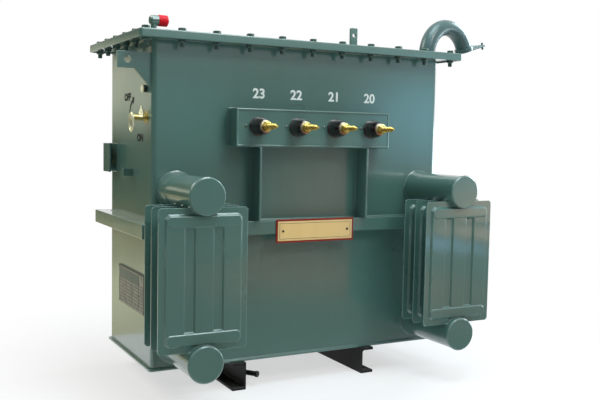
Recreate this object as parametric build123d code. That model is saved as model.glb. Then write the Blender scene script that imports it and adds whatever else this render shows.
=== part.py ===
from build123d import *
import os

# Oil-filled distribution transformer on two base channels: a welded tank with a bolted cover,
# two pressed-fin radiators and four low-voltage bushings on the front, three high-voltage
# bushings on the rear. Sizes in millimetres. X runs right along the low-voltage front, Y runs
# to the rear, Z is up. The origin is on the floor, under the middle of the tank.

# Tank
tank_length = 888
tank_width = 385
tank_wall_height = 852
tank_wall = 5
tank_corner_radius = 12
floor_thickness = 6
floor_ledge = 7

# Cover, its gasket and the rim that it is bolted to
rim_thickness = 8
gasket_thickness = 4
cover_thickness = 5
cover_overhang_length = 50
cover_overhang_width = 55
cover_lip_depth = 21
cover_corner_radius = 8
cover_fold_radius = 3
lip_clearance = 2

# Stiffening band round the tank
band_header_gap = 32.5
band_height = 37
band_projection = 37
band_wall = 5

# Base channels
channel_height = 75
channel_flange = 40
channel_web = 4.8
channel_flange_thickness = 7.5
channel_root_radius = 6
channel_overhang = 20
channel_web_spacing = 368
foundation_hole = 18
foundation_hole_inset = 30

# Radiators
header_diameter = 88.9
header_wall = 3.2
header_cap = 5
header_root_diameter = 98
header_root_length = 40
header_length = 223
header_lower_height = 141.5
header_spacing = 400
radiator_inset = 63
fin_width = 226
fin_sheet = 3
fin_lower_offset = 28
fin_upper_offset = 27
fin_count = 3
fin_pitch = 50
fin_front_inset = 24
fin_corner_cut = 6
fin_seam = 14
flute_count = 3
flute_gap = 19
flute_rise = 5.5
flute_draft = 35
chamber_height = 37
chamber_rise = 9
chamber_corner_cut = 10
weld_gap = 0.3

# Low-voltage pocket and the two plates under it
pocket_length = 474
pocket_height = 100
pocket_depth = 54
pocket_recess = 2
pocket_wall = 5
pocket_bottom_height = 657
pocket_edge = 1.5
pocket_leg_thickness = 6
pocket_leg_spacing = 332

# Low-voltage bushings and terminal studs
lv_count = 4
lv_end_margin = 61.5
lv_above_middle = 3
lv_shank_diameter = 36
lv_shank_inside = 60
lv_flange_diameter = 51
lv_flange_thickness = 8
lv_head_diameter = 36
lv_dome_length = 40
lv_stud_diameter = 14
lv_stud_reach = 114
lv_tip_length = 14
lv_tip_diameter = 6
lv_washer_diameter = 32
lv_washer_thickness = 4
lv_nut_width = 24
lv_nut_thickness = 13
bushing_clearance = 0.5

# High-voltage pocket, bushings and studs on the rear
hv_pocket_length = 660
hv_pocket_height = 130
hv_pocket_depth = 62
hv_pocket_bottom_height = 640
hv_count = 3
hv_end_margin = 75
hv_shank_diameter = 46
hv_shank_inside = 50
hv_flange_diameter = 84
hv_flange_thickness = 14
hv_core_diameter = 46
hv_shed_diameter = 92
hv_shed_pitch = 45
hv_shed_count = 3
hv_shed_under = 12
hv_shed_rim = 5
hv_head_diameter = 40
hv_head_length = 20
hv_stud_diameter = 12
hv_stud_reach = 40
hv_nut_width = 19
hv_nut_thickness = 10

# Plates
name_plate_length = 244
name_plate_height = 64
name_plate_thickness = 3
name_plate_offset = 11
name_plate_drop = 25
rating_plate_length = 234
rating_plate_height = 106
rating_plate_thickness = 4
rating_plate_offset = -25
rating_plate_bottom_height = 210

# Lifting lugs at the front left and rear right corners
lug_thickness = 10
lug_reach = 86
lug_below_rim = 35
lug_nose_height = 41
lug_root_height = 89
lug_slope_reach = 43
lug_hole = 18
lug_hole_edge = 27
lug_hole_drop = 20
lug_corner_gap = 15

# Breaker handle on the left wall
breaker_inset = 50
breaker_height = 728
breaker_shaft_diameter = 12
running_clearance = 0.05
bearing_diameter = 34
bearing_thickness = 2.5
bearing_spigot_diameter = 22
bearing_spigot_length = 22
bearing_blind = 3
hub_diameter = 18
hub_gap = 1.5
hub_length = 32
pointer_diameter = 20
pointer_tip_diameter = 3
pointer_height = 30
pointer_inset = 9
eye_width = 34
eye_height = 52
eye_rod = 6
eye_rise = 13

# Small fittings on the left wall
lamp_inset = 50
lamp_height = 801
lamp_diameter = 19
lamp_body_length = 10
lamp_lens_diameter = 22
lamp_lens_length = 3
bracket_inset = 14.5
bracket_bottom_height = 576
bracket_height = 82
bracket_depth = 66
bracket_reach = 27
bracket_plate = 5
tab_inset = 162.5
tab_bottom_height = 571
tab_height = 21
tab_depth = 21
tab_reach = 27
tab_plate = 5

# Fittings on the cover
vent_diameter = 48.3
vent_wall = 3
vent_bend_radius = 86.8
vent_bend_angle = 158
vent_foot_edge = 73
vent_foot_front = 80
vent_turn = 11
collar_diameter = 57
collar_height = 12
collar_arm_reach = 78
collar_arm_diameter = 18
collar_arm_tip = 7
collar_arm_droop = 10
collar_pin_diameter = 7
collar_pin_length = 22
collar_pin_edge = 10
valve_edge = 68
valve_front = 103.5
valve_neck_diameter = 16
valve_axis_rise = 33.5
valve_body_diameter = 26
valve_body_length = 22
valve_cap_diameter = 29
valve_cap_length = 25
cover_lug_edge = 138
cover_lug_rear = 97
cover_lug_width = 27
cover_lug_height = 107
cover_lug_thickness = 8
cover_lug_hole = 12
cover_lug_hole_drop = 24

# Drain pipe under the floor
drain_diameter = 14
drain_beside_web = 8
drain_front = 40
drain_drop = 41
drain_bend_radius = 14
drain_run = 50
drain_turn = 35
drain_cap_diameter = 17
drain_cap_length = 8

# Heights and faces that follow from the sizes above
floor_top = channel_height + floor_thickness
rim_top = floor_top + tank_wall_height
cover_top = rim_top + gasket_thickness + cover_thickness
side_face = tank_length / 2
front_face = tank_width / 2
cover_length = tank_length + 2 * cover_overhang_length
cover_width = tank_width + 2 * cover_overhang_width
rim_length = cover_length - 2 * (cover_thickness + lip_clearance)
rim_width = cover_width - 2 * (cover_thickness + lip_clearance)
header_radius = header_diameter / 2
header_heights = {"lower": header_lower_height, "upper": header_lower_height + header_spacing}
band_bottom_height = (header_heights["upper"] - header_root_diameter / 2 - band_header_gap
                      - band_height)
band_face = front_face + band_projection
lug_top_height = rim_top - rim_thickness - lug_below_rim
breaker_offset = breaker_inset - front_face
radiator_spacing = tank_length - 2 * radiator_inset
channel_length = tank_width + 2 * channel_overhang
pocket_face = front_face + pocket_depth - pocket_recess
pocket_middle_height = pocket_bottom_height + pocket_height / 2
lv_spacing = (pocket_length - 2 * lv_end_margin) / (lv_count - 1)
hv_pocket_face = front_face + hv_pocket_depth - pocket_recess
hv_middle_height = hv_pocket_bottom_height + hv_pocket_height / 2
hv_spacing = (hv_pocket_length - 2 * hv_end_margin) / (hv_count - 1)
bottom_up = (Align.CENTER, Align.CENTER, Align.MIN)
along_front = Rot(90, 0, 0)
along_rear = Rot(-90, 0, 0)
along_left = Rot(0, -90, 0)
along_right = Rot(0, 90, 0)


def save(node, shape):
    """Write one named piece to its own file."""
    shape.label = node
    export_step(shape, os.path.join("parts", node + ".step"))


def centred(count, spacing):
    """Places of a row of like pieces, spread evenly about the middle."""
    return [(i - (count - 1) / 2) * spacing for i in range(count)]


def tank_outline(shrink=0):
    """Plan of the tank's rounded walls, or of a line inside them."""
    radius = tank_corner_radius - shrink
    return RectangleRounded(tank_length - 2 * shrink, tank_width - 2 * shrink, radius)


def make_tank_shell():
    """Bent sheet walls, open top and bottom, with the openings behind pockets and headers."""
    shell = extrude(tank_outline() - tank_outline(tank_wall), tank_wall_height)
    shell = Pos(0, 0, floor_top) * shell
    header_bore = Cylinder(header_radius - header_wall, 4 * tank_wall)
    for x in centred(2, radiator_spacing):
        for height in header_heights.values():
            shell -= Pos(x, -front_face, height) * along_front * header_bore
    lv_window = Box(pocket_length - 2 * pocket_wall, 4 * tank_wall, pocket_height - 2 * pocket_wall)
    shell -= Pos(0, -front_face, pocket_middle_height) * lv_window
    hv_window = Box(hv_pocket_length - 2 * pocket_wall, 4 * tank_wall,
                    hv_pocket_height - 2 * pocket_wall)
    shell -= Pos(0, front_face, hv_middle_height) * hv_window
    spigot_bore = Cylinder(bearing_spigot_diameter / 2 + weld_gap, 4 * tank_wall)
    shell -= Pos(-side_face, breaker_offset, breaker_height) * along_left * spigot_bore
    return shell


def make_tank_floor():
    """Bottom plate, with a small ledge outside the walls for the weld."""
    plan = RectangleRounded(tank_length + 2 * floor_ledge, tank_width + 2 * floor_ledge,
                            tank_corner_radius)
    return Pos(0, 0, channel_height) * extrude(plan, floor_thickness)


def make_tank_rim():
    """Flat flange welded round the top of the walls."""
    rim = extrude(Rectangle(rim_length, rim_width) - tank_outline(), rim_thickness)
    return Pos(0, 0, rim_top - rim_thickness) * rim


def make_cover_gasket():
    """Ring that seals the cover on the rim."""
    ring = extrude(Rectangle(rim_length, rim_width) - tank_outline(tank_wall), gasket_thickness)
    return Pos(0, 0, rim_top) * ring


def make_cover():
    """Plate with its edges folded down outside the rim."""
    cover = extrude(RectangleRounded(cover_length, cover_width, cover_corner_radius),
                    cover_lip_depth)
    cover = fillet(cover.edges().group_by(Axis.Z)[-1], cover_fold_radius)
    hollow = Box(cover_length - 2 * cover_thickness, cover_width - 2 * cover_thickness,
                 cover_lip_depth - cover_thickness, align=bottom_up)
    return Pos(0, 0, cover_top - cover_lip_depth) * (cover - hollow)


def make_bands():
    """Channel-section band round the tank in four lengths, mitred at the corners."""
    length = tank_length + 2 * band_projection
    width = tank_width + 2 * band_projection
    ring = extrude(Rectangle(length, width) - tank_outline(), band_height)
    inside = Rectangle(length - 2 * band_wall, width - 2 * band_wall) - tank_outline()
    ring -= Pos(0, 0, band_wall) * extrude(inside, band_height - 2 * band_wall)
    ring = Pos(0, 0, band_bottom_height) * ring
    x, y = length / 2, width / 2
    inner_x = x - y
    outlines = {
        "band_front": [(-x, -y), (x, -y), (inner_x, 0), (-inner_x, 0)],
        "band_rear": [(-x, y), (x, y), (inner_x, 0), (-inner_x, 0)],
        "band_left": [(-x, -y), (-x, y), (-inner_x, 0)],
        "band_right": [(x, -y), (x, y), (inner_x, 0)],
    }
    bands = {}
    for node, corners in outlines.items():
        wedge = extrude(make_face(Polyline(*corners, close=True)), cover_top)
        bands[node] = ring & wedge
    return bands


def make_base_channel(side):
    """Rolled channel along Y under the tank, flanges outwards, drilled for foundation bolts."""
    section = Rectangle(channel_flange, channel_height, align=(Align.MIN, Align.MIN))
    throat = Rectangle(channel_flange - channel_web, channel_height - 2 * channel_flange_thickness,
                       align=(Align.MIN, Align.MIN))
    throat = Pos(channel_web, channel_flange_thickness) * throat
    roots = throat.vertices().group_by(Axis.X)[0]
    section -= fillet(roots, channel_root_radius)
    channel = extrude(Plane.XZ * section, channel_length / 2, both=True)
    hole = Cylinder(foundation_hole / 2, 4 * channel_flange_thickness)
    for y in centred(2, channel_length - 2 * foundation_hole_inset):
        channel -= Pos((channel_flange + channel_web) / 2, y, 0) * hole
    channel = Pos(channel_web_spacing / 2, 0, 0) * channel
    return channel if side > 0 else mirror(channel, Plane.YZ)


def make_header():
    """Header pipe, flared at the tank and closed by a flat cap, lying along -Y from its root."""
    bore = header_radius - header_wall
    edge = header_wall / 2
    wall = Polyline((header_root_diameter / 2, 0), (bore, 0), (bore, header_length - header_cap),
                    (0, header_length - header_cap), (0, header_length),
                    (header_radius - edge, header_length), (header_radius, header_length - edge),
                    (header_radius, header_root_length), close=True)
    return along_front * revolve(Plane.XZ * make_face(wall), Axis.Z)


def make_fin():
    """Pressed double-sheet fin standing on the lower header, in its own middle plane."""
    fin_height = header_spacing - fin_lower_offset - fin_upper_offset
    outline = Rectangle(fin_width, fin_height)
    outline = chamfer(outline.vertices(), fin_corner_cut)
    sheet = extrude(outline, fin_sheet / 2, both=True)
    pressed_width = fin_width - 2 * fin_seam
    chamber = Rectangle(pressed_width, chamber_height)
    chamber = chamfer(chamber.vertices(), chamber_corner_cut)
    flute_width = (pressed_width - (flute_count - 1) * flute_gap) / flute_count
    flute_height = fin_height - 2 * fin_seam - chamber_height
    flute = Rectangle(flute_width, flute_height)
    chamber_place = (fin_height - chamber_height) / 2 - fin_seam
    pressing = [Pos(0, y) * extrude(chamber, chamber_rise, taper=flute_draft)
                for y in (-chamber_place, chamber_place)]
    pressing += [Pos(x, 0) * extrude(flute, flute_rise + fin_sheet / 2, taper=flute_draft)
                 for x in centred(flute_count, flute_width + flute_gap)]
    for shape in pressing:
        sheet += shape
        sheet += mirror(shape, Plane.XY)
    fin = Pos(0, 0, fin_lower_offset + fin_height / 2) * along_front * sheet
    for height in (0, header_spacing):
        seat = Cylinder(header_radius + weld_gap, fin_width)
        fin -= Pos(0, 0, height) * along_front * seat
    return fin


def make_pocket(length, height, depth, count, spacing, bore, rise=0):
    """Open-backed steel box on a tank wall, its face set back a little and bored."""
    backed = (Align.CENTER, Align.MAX, Align.CENTER)
    inside_length, inside_height = length - 2 * pocket_wall, height - 2 * pocket_wall
    pocket = Box(length, depth, height, align=backed)
    front = pocket.faces().sort_by(Axis.Y)[0]
    pocket = chamfer(front.edges(), pocket_edge)
    face = depth - pocket_recess
    pocket -= Box(inside_length, face - pocket_wall, inside_height, align=backed)
    pocket -= Pos(0, -face, 0) * Box(inside_length, 2 * pocket_recess, inside_height, align=backed)
    for x in centred(count, spacing):
        hole = Cylinder(bore / 2 + bushing_clearance, 4 * pocket_wall)
        pocket -= Pos(x, -face, rise) * along_front * hole
    return pocket


def make_lv_bushing():
    """Glazed porcelain bushing along Z, seated on the pocket's face at height 0."""
    bore = lv_stud_diameter / 2 + bushing_clearance
    shank, flange = lv_shank_diameter / 2, lv_flange_diameter / 2
    seat = lv_flange_thickness + lv_dome_length
    dome = TangentArc((flange, lv_flange_thickness), (lv_head_diameter / 2, seat), tangent=(0, 1))
    rest = Polyline((lv_head_diameter / 2, seat), (bore, seat), (bore, -lv_shank_inside),
                    (shank, -lv_shank_inside), (shank, 0), (flange, 0),
                    (flange, lv_flange_thickness))
    return revolve(Plane.XZ * make_face(dome + rest), Axis.Z)


def make_lv_terminal():
    """Brass stud with its washer and hexagon nut, along Z from the pocket's face."""
    seat = lv_flange_thickness + lv_dome_length
    stud = Pos(0, 0, -lv_shank_inside) * Cylinder(
        lv_stud_diameter / 2, lv_shank_inside + lv_stud_reach - lv_tip_length, align=bottom_up)
    tip = Cone(lv_stud_diameter / 2, lv_tip_diameter / 2, lv_tip_length, align=bottom_up)
    stud += Pos(0, 0, lv_stud_reach - lv_tip_length) * tip
    washer = Cylinder(lv_washer_diameter / 2, lv_washer_thickness, align=bottom_up)
    nut = extrude(RegularPolygon(lv_nut_width / 2, 6, major_radius=False), lv_nut_thickness)
    return stud + Pos(0, 0, seat) * (washer + Pos(0, 0, lv_washer_thickness) * nut)


def make_hv_bushing():
    """Porcelain bushing with sheds along Z, seated on the pocket's face at height 0."""
    r_core, r_shed = hv_core_diameter / 2, hv_shed_diameter / 2
    points = [(0, -hv_shank_inside), (hv_shank_diameter / 2, -hv_shank_inside),
              (hv_shank_diameter / 2, 0), (hv_flange_diameter / 2, 0),
              (hv_flange_diameter / 2, hv_flange_thickness)]
    for i in range(hv_shed_count):
        root = hv_flange_thickness + hv_shed_pitch * (i + 1) - hv_shed_rim - hv_shed_under
        rim = root + hv_shed_under
        points += [(r_core, root), (r_shed, rim), (r_shed, rim + hv_shed_rim)]
    top = hv_flange_thickness + hv_shed_pitch * (hv_shed_count + 1)
    points += [(r_core, top - hv_shed_pitch / 2), (r_core, top), (0, top)]
    section = make_face(Polyline(*points, close=True))
    body = revolve(Plane.XZ * section, Axis.Z)
    return body - Cylinder(hv_stud_diameter / 2 + bushing_clearance, 4 * top)


def make_hv_terminal():
    """Brass head, stud and nut at the outer end of a high-voltage bushing, along Z."""
    seat = hv_flange_thickness + hv_shed_pitch * (hv_shed_count + 1)
    stud = Cylinder(hv_stud_diameter / 2, seat + hv_head_length + hv_stud_reach, align=bottom_up)
    head = Cylinder(hv_head_diameter / 2, hv_head_length, align=bottom_up)
    head = chamfer(head.edges().group_by(Axis.Z)[-1], hv_head_length / 4)
    nut = extrude(RegularPolygon(hv_nut_width / 2, 6, major_radius=False), hv_nut_thickness)
    return stud + Pos(0, 0, seat) * (head + Pos(0, 0, hv_head_length) * nut)


def make_lifting_lug():
    """Flame-cut plate on the left wall, sloped underneath, with an eye for the shackle."""
    root, nose = -side_face, -side_face - lug_reach
    corners = [(root, lug_top_height), (nose, lug_top_height),
               (nose, lug_top_height - lug_nose_height),
               (root - lug_slope_reach, lug_top_height - lug_nose_height),
               (root, lug_top_height - lug_root_height)]
    outline = make_face(Polyline(*corners, close=True))
    outline -= Pos(nose + lug_hole_edge, lug_top_height - lug_hole_drop) * Circle(lug_hole / 2)
    lug = extrude(Plane.XZ * outline, -lug_thickness)
    return Pos(0, lug_corner_gap - front_face, 0) * lug


def make_breaker_bearing():
    """Brass bush through the left wall, along Z outwards from the wall face at height 0."""
    bush = Cylinder(bearing_diameter / 2, bearing_thickness, align=bottom_up)
    spigot = Cylinder(bearing_spigot_diameter / 2, bearing_spigot_length, align=bottom_up)
    bush += Pos(0, 0, -bearing_spigot_length) * spigot
    bore_length = bearing_spigot_length - bearing_blind
    bore = Cylinder(breaker_shaft_diameter / 2 + running_clearance,
                    bore_length + 2 * bearing_thickness, align=bottom_up)
    return bush - Pos(0, 0, -bore_length) * bore


def make_breaker_lever():
    """Shaft and hub with an upright pointer cone, and the hook eye at the outer end."""
    shaft_end = bearing_blind + running_clearance - bearing_spigot_length
    hub_start = bearing_thickness + hub_gap
    hub_end = hub_start + hub_length
    lever = Pos(0, 0, shaft_end) * Cylinder(breaker_shaft_diameter / 2, hub_end - shaft_end,
                                            align=bottom_up)
    hub = Cylinder(hub_diameter / 2, hub_length, align=bottom_up)
    lever += Pos(0, 0, hub_start) * chamfer(hub.edges(), hub_gap)
    pointer = Cone(pointer_diameter / 2, pointer_tip_diameter / 2, pointer_height,
                   align=bottom_up)
    lever += Pos(0, 0, hub_start + pointer_inset) * along_right * pointer
    eye_line = SlotOverall(eye_height - eye_rod, eye_width - eye_rod).face().outer_wire()
    section = Plane(origin=eye_line @ 0, z_dir=eye_line % 0) * Circle(eye_rod / 2)
    eye = sweep(section, path=eye_line)
    boss = Pos(0, 0, hub_end - hub_gap) * Cylinder(hub_diameter / 2, eye_rod, align=bottom_up)
    eye_place = Pos(eye_rise - eye_height / 2, 0, hub_end + eye_rod / 2)
    return lever + boss + eye_place * eye


def make_signal_lamp():
    """Lamp body and its lens, along Z outwards from the wall."""
    body = Cylinder(lamp_diameter / 2, lamp_body_length, align=bottom_up)
    body = chamfer(body.edges().group_by(Axis.Z)[-1], lamp_body_length / 6)
    lens = Cylinder(lamp_lens_diameter / 2, lamp_lens_length, align=bottom_up)
    lens = chamfer(lens.edges().group_by(Axis.Z)[-1], lamp_lens_length / 2)
    return body + Pos(0, 0, lamp_body_length) * lens


def make_side_bracket():
    """Folded bracket, one leg on the left wall, its other leg standing off, open to the front."""
    far_corner = (Align.MAX, Align.MAX)
    outline = Rectangle(bracket_reach, bracket_depth, align=far_corner)
    gap = Rectangle(bracket_reach - 2 * bracket_plate, bracket_depth, align=far_corner)
    bracket = extrude(outline - Pos(-bracket_plate, -bracket_plate) * gap, bracket_height)
    return Pos(-side_face, front_face - bracket_inset, bracket_bottom_height) * bracket


def make_side_tab():
    """Short piece of angle on the left wall, its outer leg turned to the rear."""
    near_corner = (Align.MAX, Align.MIN)
    outline = Rectangle(tab_reach, tab_depth, align=near_corner)
    notch = Rectangle(tab_reach - tab_plate, tab_depth - tab_plate, align=near_corner)
    tab = extrude(outline - Pos(0, tab_plate) * notch, tab_height)
    return Pos(-side_face, tab_inset - front_face, tab_bottom_height) * tab


def make_vent():
    """Gooseneck pipe from the cover out over its right edge, and the collar at its outlet."""
    foot = Pos(cover_length / 2 - vent_foot_edge,
               vent_foot_front - cover_width / 2, cover_top) * Rot(0, 0, vent_turn)
    bend = JernArc((0, 0), (0, 1), vent_bend_radius, -vent_bend_angle)
    outlet = Plane.XZ * PolarLine(bend @ 1, collar_height / 2, direction=bend % 1)
    ring = Circle(vent_diameter / 2) - Circle(vent_diameter / 2 - vent_wall)
    pipe = sweep(ring, path=Plane.XZ * bend + outlet)
    collar = Cylinder(collar_diameter / 2, collar_height)
    arm_root = collar_diameter / 2 - vent_wall
    arm = Cone(collar_arm_diameter / 2, collar_arm_tip / 2, collar_arm_reach, align=bottom_up)
    arm = Pos(arm_root, 0, 0) * along_right * arm
    arm += Pos(arm_root + collar_arm_reach - collar_pin_edge, 0, 0) * Cylinder(
        collar_pin_diameter / 2, collar_pin_length)
    collar += Rot(0, collar_arm_droop, 0) * arm
    collar -= Cylinder(vent_diameter / 2 + weld_gap, 3 * collar_height)
    collar = Rot(0, vent_bend_angle - 180, 0) * collar
    return foot * pipe, foot * Pos(outlet @ 1) * collar


def make_valve():
    """Filling valve on the cover: a neck, a body that lies along X, and its red cap."""
    foot = Pos(valve_edge - cover_length / 2, valve_front - cover_width / 2, cover_top)
    body = Cylinder(valve_body_diameter / 2, valve_body_length, align=bottom_up)
    body = chamfer(body.edges().group_by(Axis.Z)[0], valve_neck_diameter / 4)
    neck = Cylinder(valve_neck_diameter / 2, valve_axis_rise, align=bottom_up)
    body_place = Pos(-valve_body_length / 2, 0, valve_axis_rise) * along_right
    cap = Cylinder(valve_cap_diameter / 2, valve_cap_length, align=bottom_up)
    cap = chamfer(cap.edges().group_by(Axis.Z)[-1], valve_cap_length / 10)
    cap_place = Pos(valve_body_length / 2, 0, valve_axis_rise) * along_right
    return foot * (neck + body_place * body), foot * cap_place * cap


def make_cover_lug():
    """Upright plate on the cover with a hole near its top."""
    plate = Box(cover_lug_width, cover_lug_thickness, cover_lug_height, align=bottom_up)
    plate = chamfer(plate.edges().filter_by(Axis.Y).group_by(Axis.Z)[-1], cover_lug_thickness / 4)
    hole = Cylinder(cover_lug_hole / 2, 4 * cover_lug_thickness)
    plate -= Pos(0, 0, cover_lug_height - cover_lug_hole_drop) * along_front * hole
    return Pos(cover_length / 2 - cover_lug_edge, cover_width / 2 - cover_lug_rear,
               cover_top) * plate


def make_drain_pipe():
    """Pipe from the floor plate down and out towards the front, closed by a plug."""
    level = channel_height - drain_drop
    foot = Pos(drain_beside_web - channel_web_spacing / 2, drain_front - front_face, level)
    foot *= Rot(0, 0, drain_turn - 90)
    drop = Line((0, 0, drain_drop), (0, 0, drain_bend_radius))
    bend = TangentArc((0, 0, drain_bend_radius), (drain_bend_radius, 0, 0), tangent=(0, 0, -1))
    run = Line((drain_bend_radius, 0, 0), (drain_run, 0, 0))
    mouth = Plane(origin=(0, 0, drain_drop), z_dir=(0, 0, -1))
    pipe = sweep(mouth * Circle(drain_diameter / 2), path=drop + bend + run)
    plug = Cylinder(drain_cap_diameter / 2, drain_cap_length, align=bottom_up)
    plug = chamfer(plug.edges().group_by(Axis.Z)[-1], drain_cap_length / 8)
    return foot * (pipe + Pos(drain_run, 0, 0) * along_right * plug)


os.makedirs("parts", exist_ok=True)

save("tank_shell", make_tank_shell())
save("tank_floor", make_tank_floor())
save("tank_rim", make_tank_rim())
save("cover_gasket", make_cover_gasket())
save("cover", make_cover())
for band_name, band in make_bands().items():
    save(band_name, band)
save("base_channel_left", make_base_channel(-1))
save("base_channel_right", make_base_channel(1))
save("drain_pipe", make_drain_pipe())

fin_names = ["inner", "middle", "outer"]
for side_name, radiator_x in zip(["left", "right"], centred(2, radiator_spacing)):
    for level_name, header_height in header_heights.items():
        save(f"header_{side_name}_{level_name}",
             Pos(radiator_x, -front_face, header_height) * make_header())
    for i in range(fin_count):
        fin_y = fin_front_inset - header_length + (fin_count - 1 - i) * fin_pitch
        save(f"fin_{side_name}_{fin_names[i]}",
             Pos(radiator_x, fin_y - front_face, header_lower_height) * make_fin())

lv_pocket = make_pocket(pocket_length, pocket_height, pocket_depth, lv_count, lv_spacing,
                        lv_shank_diameter, lv_above_middle)
save("lv_pocket", Pos(0, -front_face, pocket_middle_height) * lv_pocket)
lv_places = [Pos(x, -pocket_face, pocket_middle_height + lv_above_middle) * along_front
             for x in centred(lv_count, lv_spacing)]
for number, place in enumerate(lv_places, start=1):
    save(f"lv_bushing_{number}", place * make_lv_bushing())
save("lv_terminals", Compound([place * make_lv_terminal() for place in lv_places]))

leg_height = pocket_bottom_height - band_bottom_height - band_height
leg = Box(pocket_leg_thickness, pocket_depth, leg_height,
          align=(Align.CENTER, Align.MAX, Align.MIN))
save("lv_pocket_legs", Compound([
    Pos(x, -front_face, band_bottom_height + band_height) * leg
    for x in centred(2, pocket_leg_spacing)]))

hv_pocket = make_pocket(hv_pocket_length, hv_pocket_height, hv_pocket_depth, hv_count, hv_spacing,
                        hv_shank_diameter)
save("hv_pocket", Pos(0, front_face, hv_middle_height) * Rot(0, 0, 180) * hv_pocket)
hv_places = [Pos(x, hv_pocket_face, hv_middle_height) * along_rear
             for x in centred(hv_count, hv_spacing)]
save("hv_bushings", Compound([place * make_hv_bushing() for place in hv_places]))
save("hv_terminals", Compound([place * make_hv_terminal() for place in hv_places]))

name_plate = Box(name_plate_length, name_plate_thickness, name_plate_height,
                 align=(Align.CENTER, Align.MAX, Align.MIN))
save("name_plate", Pos(name_plate_offset, -band_face, band_bottom_height - name_plate_drop)
     * name_plate)
rating_plate = Box(rating_plate_thickness, rating_plate_length, rating_plate_height,
                   align=(Align.MAX, Align.CENTER, Align.MIN))
save("rating_plate", Pos(-side_face, rating_plate_offset, rating_plate_bottom_height)
     * rating_plate)

lifting_lug = make_lifting_lug()
save("lifting_lug_front", lifting_lug)
save("lifting_lug_rear", Rot(0, 0, 180) * lifting_lug)

breaker_place = Pos(-side_face, breaker_offset, breaker_height) * along_left
save("breaker_bearing", breaker_place * make_breaker_bearing())
save("breaker_lever", breaker_place * make_breaker_lever())
lamp_place = Pos(-side_face, lamp_inset - front_face, lamp_height) * along_left
save("signal_lamp", lamp_place * make_signal_lamp())
save("side_bracket", make_side_bracket())
save("side_tab", make_side_tab())

vent_pipe, vent_collar = make_vent()
save("vent_pipe", vent_pipe)
save("vent_collar", vent_collar)
filling_valve, valve_cap = make_valve()
save("filling_valve", filling_valve)
save("valve_cap", valve_cap)
save("cover_lug", make_cover_lug())
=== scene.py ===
import math
import random

import bmesh
import bpy
from mathutils import Matrix, Vector


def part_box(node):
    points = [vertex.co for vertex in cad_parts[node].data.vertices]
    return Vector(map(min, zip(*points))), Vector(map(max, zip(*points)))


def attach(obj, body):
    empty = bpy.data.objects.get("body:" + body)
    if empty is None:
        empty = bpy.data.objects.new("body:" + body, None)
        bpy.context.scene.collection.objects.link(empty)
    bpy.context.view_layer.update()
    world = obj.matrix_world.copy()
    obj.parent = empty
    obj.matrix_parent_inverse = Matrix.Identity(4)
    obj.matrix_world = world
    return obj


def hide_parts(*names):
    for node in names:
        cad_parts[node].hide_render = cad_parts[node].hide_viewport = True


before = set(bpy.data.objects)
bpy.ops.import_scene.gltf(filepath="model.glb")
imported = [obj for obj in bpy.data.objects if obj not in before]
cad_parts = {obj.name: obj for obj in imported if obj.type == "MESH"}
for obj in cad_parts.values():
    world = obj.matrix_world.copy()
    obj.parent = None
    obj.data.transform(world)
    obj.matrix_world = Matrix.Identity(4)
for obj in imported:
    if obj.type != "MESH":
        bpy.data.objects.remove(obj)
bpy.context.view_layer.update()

# Base channels. Two rolled steel channels that carry the tank and are bolted down through their
# feet. They are brushed with black bitumen paint with a little dust; the dark green on their
# corners is a painted highlight.


def srgb(red, green, blue):
    """Linear colour from the 0 to 255 values that a colour chart gives."""
    channels = [value / 255 for value in (red, green, blue)]
    return [c / 12.92 if c <= 0.04045 else ((c + 0.055) / 1.055) ** 2.4 for c in channels] + [1]


def wire(tree, kind, inputs=None, **settings):
    """New shader node; each input is named or numbered, with a value or another node's output."""
    node = tree.nodes.new("ShaderNode" + kind)
    for name, setting in settings.items():
        setattr(node, name, setting)
    for key, value in (inputs or {}).items():
        if isinstance(value, bpy.types.NodeSocket):
            tree.links.new(value, node.inputs[key])
        else:
            node.inputs[key].default_value = value
    return node


def blended(tree, amount, first, second, blend_type="MIX"):
    """Output of a colour mix from first to second."""
    mix = wire(tree, "Mix", {0: amount, 6: first, 7: second}, data_type="RGBA",
               blend_type=blend_type)
    return mix.outputs[2]


def ranged(tree, value, low, high, to_low=0.0, to_high=1.0):
    """Output of a value stretched from low and high to new ends, and held between them."""
    stretch = wire(tree, "MapRange", {"Value": value, "From Min": low, "From Max": high,
                                      "To Min": to_low, "To Max": to_high})
    return stretch.outputs["Result"]


def speckle(tree, place, scale, detail=2.0):
    """Output of a noise pattern with its middle at a half."""
    noise = wire(tree, "TexNoise", {"Vector": place, "Scale": scale, "Detail": detail})
    return noise.outputs["Fac"]


def math_of(tree, operation, first, second):
    """Output of one arithmetic step on two values."""
    return wire(tree, "Math", {0: first, 1: second}, operation=operation).outputs[0]


def times(tree, first, second):
    """Output of two values multiplied."""
    return math_of(tree, "MULTIPLY", first, second)


def plus(tree, first, second):
    """Output of two values added."""
    return math_of(tree, "ADD", first, second)


def new_group(name, inputs):
    """Node group for one kind of finish, its input sockets and its output node."""
    group = bpy.data.node_groups.new(name, "ShaderNodeTree")
    outputs = {"Color": "Color", "Roughness": "Float", "Normal": "Vector"}
    for direction, sockets in (("INPUT", inputs), ("OUTPUT", outputs)):
        for socket, kind in sockets.items():
            group.interface.new_socket(socket, in_out=direction, socket_type="NodeSocket" + kind)
    given = group.nodes.new("NodeGroupInput").outputs
    return group, given, group.nodes.new("NodeGroupOutput")


def lead_out(group, made, colour, roughness, normal):
    """Leads what a group has made to its outputs."""
    for socket, output in (("Color", colour), ("Roughness", roughness), ("Normal", normal)):
        group.links.new(output, made.inputs[socket])


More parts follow.
